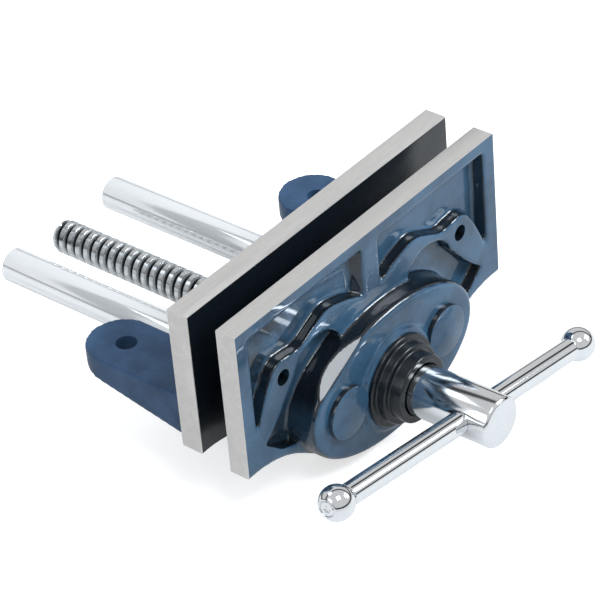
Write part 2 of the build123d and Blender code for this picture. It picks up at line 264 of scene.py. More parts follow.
def turned(profile, steps=96, closed=False):
    """A shape spun about the Y axis from (radius, y) points."""
    bm = bmesh.new()
    dots = [bm.verts.new((radius, y, 0)) for radius, y in profile]
    pairs = list(zip(dots, dots[1:])) + ([(dots[-1], dots[0])] if closed else [])
    lines = [bm.edges.new(pair) for pair in pairs]
    bmesh.ops.spin(
        bm, geom=dots + lines, cent=(0, 0, 0), axis=(0, 1, 0), angle=math.tau, steps=steps,
        use_merge=True)
    bmesh.ops.remove_doubles(bm, verts=bm.verts, dist=1e-4)
    bmesh.ops.recalc_face_normals(bm, faces=bm.faces)
    return bm


def round_bar(radius, y_back, y_front, x=0.0, z=0.0, steps=64):
    """A plain round bar along Y."""
    bm = bmesh.new()
    bmesh.ops.create_cone(
        bm, cap_ends=True, segments=steps, radius1=radius, radius2=radius,
        depth=abs(y_back - y_front),
        matrix=Matrix.Translation((x, (y_back + y_front) / 2, z)) @ LAID_BACK)
    return bm


def on_screw(radius, y_back, y_front, steps=96):
    """A round bar on the screw's axis."""
    return round_bar(radius, y_back, y_front, 0, SCREW_Z, steps)


def on_rod(radius, y_back, y_front, steps=96, side=1):
    """A round bar on a guide rod's axis."""
    return round_bar(radius, y_back, y_front, side * ROD_X, ROD_Z, steps)


def on_liner_hole(radius, y_back, y_front):
    """A round bar on the right liner hole's axis."""
    return round_bar(radius, y_back, y_front, LINER_X, LINER_Z)


def block(low, high):
    """A rectangular block between two corners."""
    low, high = Vector(low), Vector(high)
    bm = bmesh.new()
    bmesh.ops.create_cube(
        bm, size=1.0,
        matrix=Matrix.Translation((low + high) / 2) @ Matrix.Diagonal((*(high - low), 1)))
    return bm


def soften(bm, amount, segments=3, angle=30.0):
    """Rounds every edge that turns by more than the angle."""
    turn = math.radians(angle)
    sharp = [e for e in bm.edges if len(e.link_faces) == 2 and e.calc_face_angle(0) > turn]
    bmesh.ops.bevel(
        bm, geom=sharp, offset=amount, offset_type="OFFSET", segments=segments, profile=0.5,
        affect="EDGES", material=-1, clamp_overlap=True)
    return bm


def moved(bm, x=0.0, y=0.0, z=0.0):
    bmesh.ops.translate(bm, vec=(x, y, z), verts=bm.verts)
    return bm


def add(bm, *others):
    """Puts other shapes in the same bmesh."""
    for other in others:
        mesh = bpy.data.meshes.new("part")
        other.to_mesh(mesh)
        other.free()
        bm.from_mesh(mesh)
        bpy.data.meshes.remove(mesh)
    return bm


def on_both_sides(bm):
    """Adds the mirror image in the vise's middle plane."""
    everything = bm.verts[:] + bm.edges[:] + bm.faces[:]
    bmesh.ops.mirror(bm, geom=everything, merge_dist=-1, axis="X")
    bmesh.ops.recalc_face_normals(bm, faces=bm.faces)
    return bm


def cut_flat(bm, place, way):
    """Cuts off whatever lies beyond a plane and closes the cut."""
    cut = bmesh.ops.bisect_plane(
        bm, geom=bm.verts[:] + bm.edges[:] + bm.faces[:], dist=1e-4, plane_co=place, plane_no=way,
        clear_outer=True)
    rim = [e for e in cut["geom_cut"] if isinstance(e, bmesh.types.BMEdge)]
    bmesh.ops.contextual_create(bm, geom=rim)
    bmesh.ops.recalc_face_normals(bm, faces=bm.faces)
    return bm


def settle(obj):
    """Applies the object's modifiers to its mesh."""
    bpy.context.view_layer.update()
    graph = bpy.context.evaluated_depsgraph_get()
    mesh = bpy.data.meshes.new_from_object(obj.evaluated_get(graph))
    obj.modifiers.clear()
    obj.data = mesh


def work(obj, tool_bm, operation):
    """Cuts the tool's shape from the object, joins it on, or keeps only what they share."""
    tool = solid(tool_bm, "tool")
    cut = obj.modifiers.new("work", "BOOLEAN")
    cut.object = tool
    cut.operation = operation
    cut.solver = "MANIFOLD"
    settle(obj)
    drop(tool)
    if len(obj.data.polygons) == 0:
        raise RuntimeError(f"{obj.name}: nothing was left after {operation}")


def cast_skin(obj, rounds):
    """Gives a rough solid the continuous, rounded skin of a sand casting."""
    skin = obj.modifiers.new("skin", "REMESH")
    skin.mode = "VOXEL"
    skin.voxel_size = sizes().casting_grain / MM
    ease = obj.modifiers.new("ease", "SMOOTH")
    ease.factor = 0.5
    ease.iterations = rounds
    settle(obj)


def finish_piece(obj, name, body, nodes, materials, angle=35.0):
    """Brings a piece to metres, shades it, and ties it to the frame."""
    obj.name = obj.data.name = name
    obj.data.transform(Matrix.Scale(MM, 4))
    for polygon in obj.data.polygons:
        polygon.use_smooth = True
    obj.data.set_sharp_from_angle(angle=math.radians(angle))
    obj.data.materials.clear()
    for material in materials:
        obj.data.materials.append(material)
    obj.data.update()
    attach(obj, body)
    if nodes:
        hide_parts(*nodes)


# ---- materials ----
FLOAT, VECTOR = "NodeSocketFloat", "NodeSocketVector"


def plug(tree, place, value):
    """Feeds a socket from another socket, or sets it to a plain value."""
    if isinstance(value, bpy.types.NodeSocket):
        tree.links.new(value, place)
    else:
        place.default_value = value


def darker(tint, share):
    return tuple(c * share for c in tint)


def effect(name, inputs, outputs):
    """A shader node group with its named inputs and outputs."""
    tree = bpy.data.node_groups.new(name, "ShaderNodeTree")
    for label, kind, value in inputs:
        made = tree.interface.new_socket(name=label, in_out="INPUT", socket_type=kind)
        if value is not None:
            made.default_value = value
    for label, kind in outputs:
        tree.interface.new_socket(name=label, in_out="OUTPUT", socket_type=kind)
    start, end = tree.nodes.new("NodeGroupInput"), tree.nodes.new("NodeGroupOutput")
    return tree, start.outputs, end.inputs


def math_node(tree, operation, *values):
    n = tree.nodes.new("ShaderNodeMath")
    n.operation = operation
    for place, value in zip(n.inputs, values):
        plug(tree, place, value)
    return n.outputs[0]


def noise(tree, vector, scale, detail=3.0, roughness=0.5):
    n = tree.nodes.new("ShaderNodeTexNoise")
    tree.links.new(vector, n.inputs["Vector"])
    plug(tree, n.inputs["Scale"], scale)
    n.inputs["Detail"].default_value = detail
    n.inputs["Roughness"].default_value = roughness
    return n.outputs["Fac"]


def spread(tree, value, low, high, to_low=0.0, to_high=1.0):
    """Eases a value from one range to another."""
    n = tree.nodes.new("ShaderNodeMapRange")
    n.interpolation_type = "SMOOTHSTEP"
    tree.links.new(value, n.inputs["Value"])
    plug(tree, n.inputs["From Min"], low)
    plug(tree, n.inputs["From Max"], high)
    plug(tree, n.inputs["To Min"], to_low)
    plug(tree, n.inputs["To Max"], to_high)
    return n.outputs["Result"]


def axes_of(tree, vector):
    """A vector's X, Y and Z."""
    n = tree.nodes.new("ShaderNodeSeparateXYZ")
    tree.links.new(vector, n.inputs[0])
    return n.outputs


def stretched(tree, vector, scale):
    n = tree.nodes.new("ShaderNodeMapping")
    n.inputs["Scale"].default_value = scale
    tree.links.new(vector, n.inputs["Vector"])
    return n.outputs["Vector"]


def blended(tree, factor, first, second):
    """Goes from the first colour to the second as the factor rises."""
    n = tree.nodes.new("ShaderNodeMix")
    n.data_type = "RGBA"
    tree.links.new(factor, n.inputs[0])
    for place, value in ((n.inputs[6], first), (n.inputs[7], second)):
        plug(tree, place, value if isinstance(value, bpy.types.NodeSocket) else (*value, 1.0))
    return n.outputs[2]


def cast_surface_effect():
    """Lumps and orange peel of enamel over a sand casting."""
    tree, given, out = effect(
        "Cast Surface",
        [("Vector", VECTOR, None), ("Lumps", FLOAT, 60.0), ("Peel", FLOAT, 900.0)],
        [("Height", FLOAT), ("Mottle", FLOAT)])
    lumps = noise(tree, given["Vector"], given["Lumps"], 2.0)
    peel = noise(tree, given["Vector"], given["Peel"], 3.0, 0.6)
    height = math_node(tree, "ADD", lumps, math_node(tree, "MULTIPLY", peel, 0.10))
    tree.links.new(height, out["Height"])
    patches = noise(tree, given["Vector"], 38.0, 6.0, 0.62)
    tree.links.new(spread(tree, patches, 0.32, 0.68), out["Mottle"])
    return tree


def painted_wall_shade_effect():
    """Painted shade and dark reflection: on steep walls, and in patches on the left recesses'
    floors.
    """
    tree, given, out = effect(
        "Painted Wall Shade",
        [("Normal", VECTOR, None), ("Vector", VECTOR, None), ("Wall Start", FLOAT, 0.90),
         ("Wall End", FLOAT, 0.50), ("Side Share", FLOAT, 0.70), ("Open Face", FLOAT, 0.0)],
        [("Wall", FLOAT)])
    # Painted shade on steep walls, a little less where they face sideways.
    way = axes_of(tree, given["Normal"])
    uneven = math_node(tree, "SUBTRACT", noise(tree, given["Vector"], 140.0, 4.0), 0.5)
    uneven = math_node(tree, "MULTIPLY", uneven, 0.45)
    facing = math_node(tree, "ADD", math_node(tree, "ABSOLUTE", way["Y"]), uneven)
    wall = spread(tree, facing, given["Wall Start"], given["Wall End"])
    sideways = math_node(tree, "ABSOLUTE", way["X"])
    thinner = spread(tree, sideways, 0.75, 0.98, 1.0, given["Side Share"])
    wall = math_node(tree, "MULTIPLY", wall, thinner)

    # Painted dark reflection in noisy patches on the sunk floors left of the middle, more of it
    # lower down.
    place = axes_of(tree, given["Vector"])
    below_face = math_node(tree, "SUBTRACT", place["Y"], given["Open Face"])
    sunk = spread(tree, below_face, 0.0025, 0.0050)
    leftward = spread(tree, place["X"], -0.015, -0.075)
    lower = spread(tree, place["Z"], 0.022, 0.002, 0.0, 0.30)
    runs = math_node(tree, "ADD", noise(tree, given["Vector"], 75.0, 5.0, 0.6), lower)
    where = math_node(tree, "MULTIPLY", sunk, leftward)
    runs = math_node(tree, "MULTIPLY", spread(tree, runs, 0.38, 0.60), where)
    runs = math_node(tree, "MULTIPLY", runs, 0.9)
    tree.links.new(math_node(tree, "MAXIMUM", wall, runs), out["Wall"])
    return tree


def grinding_effect():
    """Fine lines that grinding or drawing leaves along a metal face."""
    tree, given, out = effect(
        "Grinding Lines", [("Vector", VECTOR, None), ("Fineness", FLOAT, 1.0)],
        [("Lines", FLOAT), ("Clouds", FLOAT)])
    lines = noise(tree, given["Vector"], given["Fineness"], 4.0, 0.7)
    coarser = math_node(tree, "MULTIPLY", given["Fineness"], 0.12)
    clouds = noise(tree, given["Vector"], coarser, 3.0)
    tree.links.new(spread(tree, lines, 0.3, 0.7), out["Lines"])
    tree.links.new(spread(tree, clouds, 0.35, 0.65), out["Clouds"])
    return tree


def groove_effect():
    """How deep a place lies in the spindle's thread, from its distance to the spindle's axis."""
    tree, given, out = effect(
        "Thread Groove",
        [("Vector", VECTOR, None), ("Axis Height", FLOAT, 0.0), ("Root", FLOAT, 0.0058),
         ("Crest", FLOAT, 0.008)],
        [("Depth", FLOAT)])
    place = axes_of(tree, given["Vector"])
    up = math_node(tree, "SUBTRACT", place["Z"], given["Axis Height"])
    squares = math_node(
        tree, "ADD", math_node(tree, "MULTIPLY", place["X"], place["X"]),
        math_node(tree, "MULTIPLY", up, up))
    radius = math_node(tree, "SQRT", squares)
    depth = spread(tree, radius, given["Crest"], given["Root"])
    inside = math_node(tree, "SUBTRACT", given["Root"], radius)
    on_thread = math_node(tree, "SUBTRACT", 1.0, spread(tree, inside, 0.0001, 0.0004))
    tree.links.new(math_node(tree, "MULTIPLY", depth, on_thread), out["Depth"])
    return tree


EFFECTS = {
    "cast": cast_surface_effect, "wall_shade": painted_wall_shade_effect, "grind": grinding_effect,
    "groove": groove_effect,
}
made_effects = {}
made_materials = {}


def use_effect(tree, key, **values):
    """Places a shared effect, made once, with its own input values, and returns its outputs."""
    if key not in made_effects:
        made_effects[key] = EFFECTS[key]()
    n = tree.nodes.new("ShaderNodeGroup")
    n.node_tree = made_effects[key]
    for label, value in values.items():
        plug(tree, n.inputs[label.replace("_", " ")], value)
    return n.outputs


def new_material(name):
    material = bpy.data.materials.new(name)
    material.use_nodes = True
    tree = material.node_tree
    shader = next(n for n in tree.nodes if n.type == "BSDF_PRINCIPLED")
    places = tree.nodes.new("ShaderNodeTexCoord")
    return material, tree, shader.inputs, places.outputs


def bump(tree, look, height, strength, distance):
    n = tree.nodes.new("ShaderNodeBump")
    n.inputs["Strength"].default_value = strength
    n.inputs["Distance"].default_value = distance
    tree.links.new(height, n.inputs["Height"])
    tree.links.new(n.outputs["Normal"], look["Normal"])


def enamel(name, tint, gloss, mottled, coat=0.2, wall_shade_tint=None):
    """Glossy stoving enamel over cast iron; the last colour, when given, is painted shade on steep
    walls and on the left recesses' floors.
    """
    material, tree, look, places = new_material(name)
    skin = use_effect(tree, "cast", Vector=places["Object"])
    worn = math_node(tree, "MULTIPLY", skin["Mottle"], mottled)
    base = blended(tree, worn, tint, darker(tint, 0.30))
    look["Coat Weight"].default_value = coat
    if wall_shade_tint:
        wall = use_effect(
            tree, "wall_shade", Normal=places["Normal"], Vector=places["Object"],
            Open_Face=FRONT_FACE * MM - sizes().jaw_thickness)["Wall"]
        # Painted shade: the walls and the left floors take the dark colour.
        base = blended(tree, wall, base, wall_shade_tint)
        tree.links.new(spread(tree, wall, 0.0, 1.0, 0.55, 0.80), look["Coat Weight"])
    tree.links.new(base, look["Base Color"])
    tree.links.new(spread(tree, skin["Mottle"], 0.0, 1.0, gloss, gloss + 0.12), look["Roughness"])
    look["Specular IOR Level"].default_value = 0.12
    look["Coat Roughness"].default_value = 0.04 if wall_shade_tint else 0.22
    look["Coat IOR"].default_value = 1.55
    bump(tree, look, skin["Height"], 0.5, 0.0006 if wall_shade_tint else 0.0004)
    return material


def metal(name, tint, rough, stretch, fineness, depth, dark, bare=1.0):
    """Bare or plated metal with the lines that its last machining left."""
    material, tree, look, places = new_material(name)
    lines = use_effect(
        tree, "grind", Vector=stretched(tree, places["Object"], stretch), Fineness=fineness)
    shade = blended(tree, lines["Lines"], tint, darker(tint, dark))
    faint = math_node(tree, "MULTIPLY", lines["Clouds"], 0.5)
    shade = blended(tree, faint, shade, darker(tint, dark))
    tree.links.new(shade, look["Base Color"])
    tree.links.new(spread(tree, lines["Clouds"], 0.0, 1.0, *rough), look["Roughness"])
    look["Metallic"].default_value = bare
    bump(tree, look, lines["Lines"], 0.4, depth)
    return material


def threaded_metal(name, tint, root_tint):
    """Plated spindle, its colour darker towards the thread's roots."""
    material, tree, look, places = new_material(name)
    groove = use_effect(
        tree, "groove", Vector=places["Object"], Axis_Height=SCREW_Z * MM,
        Root=SCREW_RADIUS * MM - sizes().thread_depth, Crest=SCREW_RADIUS * MM - 0.0002)
    lines = use_effect(
        tree, "grind", Vector=stretched(tree, places["Object"], (900, 300, 900)), Fineness=1.0)
    base = blended(tree, lines["Lines"], tint, darker(tint, 0.8))
    # Darker towards the thread's roots.
    tree.links.new(blended(tree, groove["Depth"], base, root_tint), look["Base Color"])
    tree.links.new(spread(tree, groove["Depth"], 0.0, 1.0, 0.2, 0.45), look["Roughness"])
    look["Metallic"].default_value = 1.0
    bump(tree, look, lines["Lines"], 0.3, 0.00004)
    return material


def finish_of(key):
    """The named finish, made once."""
    if key in made_materials:
        return made_materials[key]
    f = finishes()
    recipes = {
        "front enamel": lambda: enamel(
            "Front Jaw Enamel", f.enamel, gloss=0.22, mottled=0.65, wall_shade_tint=f.painted_shade_tint),
        # Painted shade: near-black enamel for the gripping faces between the jaws and the collar's
        # steps.
        "painted shade enamel": lambda: enamel(
            "Gripping Face Painted Shade", f.painted_shade_tint, gloss=0.2, mottled=0.3, coat=0.55),
        "ear enamel": lambda: enamel(
            "Rear Jaw Enamel", f.ear_enamel, gloss=0.42, mottled=0.6),
        "ground steel": lambda: metal(
            "Ground Steel", f.ground_steel, rough=(0.38, 0.5), stretch=(60, 900, 900),
            fineness=2.0, depth=0.00003, dark=0.86, bare=0.7),
        "rod steel": lambda: metal(
            "Polished Rod Steel", f.rod_steel, rough=(0.05, 0.08), stretch=(700, 25, 700),
            fineness=2.0, depth=0.000006, dark=0.93, bare=0.5),
        "chrome": lambda: metal(
            "Chrome Plate", f.chrome, rough=(0.03, 0.07), stretch=(120, 120, 120),
            fineness=2.0, depth=0.000004, dark=0.94),
        "turned chrome": lambda: metal(
            "Turned Chrome", f.chrome, rough=(0.08, 0.13), stretch=(600, 40, 600),
            fineness=2.0, depth=0.000006, dark=0.9),
        "zinc": lambda: threaded_metal("Zinc Plated Spindle", f.zinc, f.root_tint),
        "bronze": lambda: metal(
            "Nut Bronze", f.bronze, rough=(0.30, 0.42), stretch=(300, 900, 300),
            fineness=1.0, depth=0.00004, dark=0.75),
        "plain steel": lambda: metal(
            "Plain Steel", f.plain_steel, rough=(0.28, 0.40), stretch=(600, 600, 600),
            fineness=1.0, depth=0.00003, dark=0.75),
    }
    made_materials[key] = recipes[key]()
    return made_materials[key]


# ---- castings ----
def jaw_outline(end_drop, skirt_drop):
    """Jaw seen from the front, with stock left to machine off the top and the ends."""
    end_z, low_z = JAW_TOP - end_drop, JAW_TOP - skirt_drop
    right = [(HALF * reach, end_z - (end_z - low_z) * fall, SOFT) for reach, fall in SKIRT[::-1]]
    right += [(HALF + STOCK, end_z, CORNER), (HALF + STOCK, JAW_TOP + STOCK, CORNER)]
    return right + mirrored(right[1:])


def below_top(points):
    """Points given as (x, drop from the jaw's top, kind)."""
    return [(x, JAW_TOP - drop, kind) for x, drop, kind in points]


def upper_recess():
    """Right upper recess, above the wavy band."""
    return below_top([
        (4, 30.5, CORNER), (4, 6, CORNER), (80.5, 6, CORNER), (80.5, 58, CORNER),
        (74.5, 43, SOFT), (70.2, 35.5, SOFT), (63.5, 28.6, SOFT), (58.5, 28.4, SOFT),
        (49, 29, SOFT), (39.5, 25, SOFT), (30, 21.5, SOFT), (21, 23, SOFT), (10.5, 27, SOFT)])


def lower_recess():
    """Right lower recess, between the band and the boss."""
    return below_top([
        (22, 43, SOFT), (26.5, 35, SOFT), (33, 31, SOFT), (42, 31, SOFT), (50, 35, SOFT),
        (54.5, 42, SOFT), (58.5, 47, SOFT), (67.5, 57, SOFT), (75, 63.5, CORNER),
        (65, 72, CORNER), (53, 76, CORNER), (40, 70, CORNER), (20, 55, CORNER)])


def recesses(rim, floor):
    """All four recesses; the upper ones have a sloping wall at each end."""
    upper = slab(upper_recess(), floor, rim - STOCK)
    for v in upper.verts:
        if v.co.y > floor - 0.1 and v.co.x < 5:
            v.co.x += 5
        elif v.co.y > floor - 0.1 and v.co.x > 80:
            v.co.x -= 2
    return on_both_sides(add(upper, slab(lower_recess(), floor, rim - STOCK)))


def jaw_faces(obj, face_y):
    """Gives the machined top and ends the ground finish, and the gripping face near-black painted
    shade.
    """
    edge = 0.45
    for polygon in obj.data.polygons:
        place, way = polygon.center / MM, polygon.normal
        at_top = place.z > JAW_TOP - edge and way.z > 0.3
        at_end = abs(place.x) > HALF - edge and abs(way.x) > 0.3
        if at_top or at_end:
            polygon.material_index = GROUND
        elif abs(place.y - face_y) < 0.1 and abs(way.y) > 0.9:
            polygon.material_index = PAINTED_SHADE


def oval_boss(y_back, y_front):
    """The oval boss, its front edge rounded over and a sloping flat cut on its upper left."""
    bm = round_bar(1.0, y_back, y_front, steps=96)
    oval = Matrix.Diagonal((OVAL_WIDE, 1, OVAL_HIGH, 1))
    bmesh.ops.transform(bm, matrix=oval, verts=bm.verts)
    moved(soften(bm, OVAL_ROUND, 4), z=JAW_TOP - OVAL_DROP)
    slope = Vector(FLAT_WAY).normalized()
    return cut_flat(bm, Vector((FLAT_X, y_front, FLAT_Z)) - slope * FLAT_DEPTH, slope)


def join_rough(obj, other):
    """Puts two rough solids in one object before they get their common skin."""
    bm = bmesh.new()
    bm.from_mesh(obj.data)
    bm.from_mesh(other.data)
    drop(obj)
    drop(other)
    return solid(bm, "casting")


class VISE_OT_front_jaw(bpy.types.Operator):
    """Casts and machines the front jaw with its relief, boss and stepped collar"""

    bl_idname = "vise.front_jaw"
    bl_label = "Front Jaw"

    def execute(self, context):
        s = sizes()
        rim = FRONT_FACE - s.jaw_thickness / MM
        boss_front = rim - s.boss_standout / MM
        outline = jaw_outline(FRONT_END_DROP, FRONT_SKIRT_DROP)
        jaw = solid(slab(outline, FRONT_FACE + STOCK, rim), "front_jaw_casting")
        work(jaw, recesses(rim, rim + s.recess_depth / MM), "DIFFERENCE")
        raised = oval_boss(FRONT_FACE + STOCK, boss_front)
        add(raised, soften(
            on_screw(COLLAR_FOOT, FRONT_FACE, boss_front - COLLAR_FOOT_STANDOUT), 1.4))
        add(raised, on_both_sides(soften(on_liner_hole(LINER_BOSS, FRONT_FACE, rim), 0.6)))
        jaw = join_rough(jaw, solid(raised, "raised"))
        cast_skin(jaw, s.casting_ease)
        trim = block((-HALF, COLLAR_FRONT, FRONT_LOW.z), (HALF, FRONT_FACE, JAW_TOP))
        work(jaw, soften(trim, s.edge_break / MM, 2), "INTERSECT")
        profile = [(0, FRONT_FACE - 1)]
        for radius, standout in COLLAR_STEPS:
            profile += [(radius, profile[-1][1]), (radius, rim - standout)]
        profile.append((0, COLLAR_FRONT))
        work(jaw, moved(soften(turned(profile, 128), 0.7, 3), z=SCREW_Z), "UNION")
        pad = soften(on_rod(PAD_RADIUS, boss_front + 3, rim - PAD_STANDOUT), 0.3, 2)
        work(jaw, on_both_sides(pad), "UNION")
        work(jaw, on_screw(NECK_BORE, FRONT_FACE + 1, COLLAR_FRONT - 1), "DIFFERENCE")
        seat = on_screw(
            WASHER_SEAT, COLLAR_FRONT + WASHER_SEAT_DEPTH, COLLAR_FRONT - 3, steps=128)
        work(jaw, soften(seat, 0.2, 1), "DIFFERENCE")
        pocket = on_screw(
            COLLAR_POCKET, FRONT_FACE + 3, FRONT_FACE - COLLAR_POCKET_DEPTH, steps=128)
        work(jaw, pocket, "DIFFERENCE")
        holes = on_rod(ROD_SOCKET, FRONT_FACE + 2, FRONT_FACE - ROD_SOCKET_DEPTH)
        add(holes, on_liner_hole(LINER_HOLE, FRONT_FACE + 2, rim - 2))
        work(jaw, on_both_sides(holes), "DIFFERENCE")
        finish_piece(
            jaw, "front_jaw_casting", "sliding_jaw", ["front_jaw"],
            [finish_of("front enamel"), finish_of("ground steel"), finish_of("painted shade enamel")])
        jaw_faces(jaw, FRONT_FACE)
        # Painted shade: the collar's steps take the near-black finish.
        for polygon in jaw.data.polygons:
            place = polygon.center / MM
            on_collar = math.hypot(place.x, place.z - SCREW_Z) < 22
            if on_collar and place.y < boss_front - 1.8:
                polygon.material_index = PAINTED_SHADE
        return {"FINISHED"}


def bench_ear():
    """Right ear: a round-ended tongue, flat on top, thinner towards its tip."""
    back = REAR_FACE + sizes().rear_thickness / MM
    low, high = EAR_X - EAR_RADIUS, EAR_X + EAR_RADIUS
    curve = [(low, back - 4, CORNER), (high, back - 4, CORNER), (high, EAR_CENTRE_Y, CORNER)]
    steps = 12
    for i in range(1, steps):
        turn = math.pi * i / steps
        curve.append((
            EAR_X + EAR_RADIUS * math.cos(turn), EAR_CENTRE_Y + EAR_RADIUS * math.sin(turn), SOFT))
    curve.append((low, EAR_CENTRE_Y, CORNER))
    bm = slab(curve, 0, -EAR_ROOT)
    bmesh.ops.transform(bm, matrix=Matrix.Rotation(-math.pi / 2, 4, "X"), verts=bm.verts)
    moved(bm, z=-EAR_ROOT - min(v.co.z for v in bm.verts))
    fall = (EAR_ROOT - EAR_TIP) / (EAR_CENTRE_Y + EAR_RADIUS - back)
    return cut_flat(bm, (0, back, -EAR_ROOT), Vector((0, fall, -1)).normalized())


class VISE_OT_rear_jaw(bpy.types.Operator):
    """Casts and machines the rear jaw with its bench ears and bosses"""

    bl_idname = "vise.rear_jaw"
    bl_label = "Rear Jaw"

    def execute(self, context):
        s = sizes()
        back = REAR_FACE + s.rear_thickness / MM
        jaw = slab(jaw_outline(REAR_END_DROP, REAR_SKIRT_DROP), back, REAR_FACE - STOCK)
        add(jaw, soften(on_screw(HOUSING_RADIUS, HOUSING_BACK, REAR_FACE), 0.6, 1))
        add(jaw, block((-25, REAR_FACE, SCREW_Z - 15), (25, HOUSING_BACK, SCREW_Z + 15)))
        add(jaw, block((-EAR_X, REAR_FACE + 2, -10), (EAR_X, REAR_FACE + 36, -2)))
        side = soften(on_rod(GUIDE_RADIUS, HOUSING_BACK, REAR_FACE), 0.6, 1)
        add(jaw, on_both_sides(add(side, bench_ear())))
        jaw = solid(jaw, "rear_jaw_casting")
        cast_skin(jaw, max(2, s.casting_ease - 2))
        trim = block((-HALF, REAR_FACE, REAR_LOW.z), (HALF, REAR_HIGH.y, JAW_TOP))
        work(jaw, soften(trim, s.edge_break / MM, 2), "INTERSECT")
        work(jaw, on_screw(SCREW_CLEARANCE, HOUSING_BACK + 1, REAR_FACE - 1), "DIFFERENCE")
        seat = on_screw(NUT_SEAT, HOUSING_BACK + 1, HOUSING_BACK - NUT_SEAT_DEPTH)
        work(jaw, seat, "DIFFERENCE")
        holes = on_rod(ROD_SLIDE, HOUSING_BACK + 2, REAR_FACE - 2)
        add(holes, on_liner_hole(LINER_HOLE, back + 2, REAR_FACE - 2))
        ear_hole = round_bar(EAR_HOLE, 15, -40)
        stand = Matrix.Translation((EAR_X, 0, 0)) @ LAID_BACK
        bmesh.ops.transform(ear_hole, matrix=stand, verts=ear_hole.verts)
        work(jaw, on_both_sides(add(holes, ear_hole)), "DIFFERENCE")
        finish_piece(
            jaw, "rear_jaw_casting", "fixed_jaw", ["rear_jaw"],
            [finish_of("ear enamel"), finish_of("ground steel"), finish_of("painted shade enamel")])
        jaw_faces(jaw, REAR_FACE)
        return {"FINISHED"}


# ---- rods and spindle ----
class VISE_OT_guide_rods(bpy.types.Operator):
    """Turns the two polished guide rods"""

    bl_idname = "vise.guide_rods"
    bl_label = "Guide Rods"

    def execute(self, context):
        for side, name in ((-1, "left"), (1, "right")):
            rod = soften(on_rod(ROD_RADIUS, ROD_HIGH.y, ROD_LOW.y, 128, side), 0.8, 3)
            finish_piece(
                solid(rod), f"guide_rod_{name}_bar", "sliding_jaw",
                [f"guide_rod_{name}"], [finish_of("rod steel")])
        return {"FINISHED"}


def ease_thread_ends(bm, start, end, root):
    """Turns the thread down to its root at both ends."""
    for v in bm.verts:
        radius = math.hypot(v.co.x, v.co.z)
        limit = max(root, min(root + (end - v.co.y), root + (v.co.y - start)))
        if radius > limit:
            v.co.x *= limit / radius
            v.co.z *= limit / radius
    bmesh.ops.recalc_face_normals(bm, faces=bm.faces)


class VISE_OT_spindle(bpy.types.Operator):
    """Cuts the right-hand thread on the spindle and turns its plain neck"""

    bl_idname = "vise.spindle"
    bl_label = "Spindle"

    def execute(self, context):
        s = sizes()
        pitch, depth = s.thread_pitch / MM, s.thread_depth / MM
        start, end = FRONT_FACE + 3.0, SCREW_HIGH.y
        root, crest = SCREW_RADIUS - depth, SCREW_RADIUS
        # One pitch of the thread, as radius and share of the pitch.
        shape = [
            (root, 0.0), (root, 0.13), (crest - 0.25, 0.235), (crest, 0.275), (crest, 0.725),
            (crest - 0.25, 0.765), (root, 0.87), (root, 1.0)]
        bm = bmesh.new()
        dots = [bm.verts.new((radius, start - 2 * pitch + share * pitch, 0))
                for radius, share in shape]
        lines = [bm.edges.new(pair) for pair in zip(dots, dots[1:])]
        turns, steps = math.ceil((end - start) / pitch) + 3, 56
        bmesh.ops.spin(
            bm, geom=dots + lines, cent=(0, 0, 0), axis=(0, 1, 0), angle=math.tau * turns,
            steps=steps * turns, dvec=(0, pitch / steps, 0), use_merge=False)
        bmesh.ops.remove_doubles(bm, verts=bm.verts, dist=0.01)
        cut_flat(bm, (0, start, 0), (0, -1, 0))
        cut_flat(bm, (0, end, 0), (0, 1, 0))
        ease_thread_ends(bm, start, end, root)
        spindle = solid(moved(bm, z=SCREW_Z), "spindle")
        neck = soften(on_screw(NECK_RADIUS, start + 1.0, SCREW_LOW.y), 0.4, 2)
        work(spindle, neck, "UNION")
        finish_piece(
            spindle, "spindle", "screw", ["lead_screw"], [finish_of("zinc")], 40)
        return {"FINISHED"}


def make_nut():
    """The nut: a flange with round corners, a barrel and a bore that clears the thread."""
    flange = block((NUT_LOW.x, HOUSING_BACK, NUT_LOW.z), NUT_HIGH)
    upright = [e for e in flange.edges if abs((e.verts[0].co - e.verts[1].co).y) > 1]
    bmesh.ops.bevel(
        flange, geom=upright, offset=2.5, offset_type="OFFSET", segments=5, profile=0.5,
        affect="EDGES", material=-1)
    nut = solid(soften(flange, 0.35, 2), "nut")
    barrel = soften(on_screw(NUT_BARREL, HOUSING_BACK + 1, NUT_LOW.y), 0.3, 2)
    work(nut, barrel, "UNION")
    bore = turned([
        (0, NUT_LOW.y - 1), (SCREW_RADIUS + NUT_CLEARANCE, NUT_LOW.y - 1),
        (SCREW_RADIUS + NUT_CLEARANCE, NUT_HIGH.y - 1.0), (SCREW_RADIUS + 1.3, NUT_HIGH.y + 0.3),
        (0, NUT_HIGH.y + 0.3)])
    work(nut, moved(bore, z=SCREW_Z), "DIFFERENCE")
    hole = round_bar(BOLT_HOLE, NUT_HIGH.y + 1, HOUSING_BACK - 1, BOLT_X, SCREW_Z, 48)
    work(nut, on_both_sides(hole), "DIFFERENCE")
    return nut


def make_nut_screw(x):
    """A countersunk, slotted screw that holds the nut's flange."""
    under_head, top, point = NUT_HIGH.y + 0.02, BOLT_HIGH.y, BOLT_LOW.y
    body = turned([
        (0, top), (BOLT_HEAD_TOP, top), (BOLT_HEAD, top - 0.8), (BOLT_HEAD, under_head),
        (BOLT_SHANK, under_head), (BOLT_SHANK, point + 0.6), (BOLT_POINT, point),
        (0, point)], 48)
    screw = solid(moved(soften(body, 0.15, 2), x=x, z=SCREW_Z), "screw")
    slot = block((x - 5, top - 1.3, SCREW_Z - 0.6), (x + 5, top + 1, SCREW_Z + 0.6))
    work(screw, slot, "DIFFERENCE")
    return screw


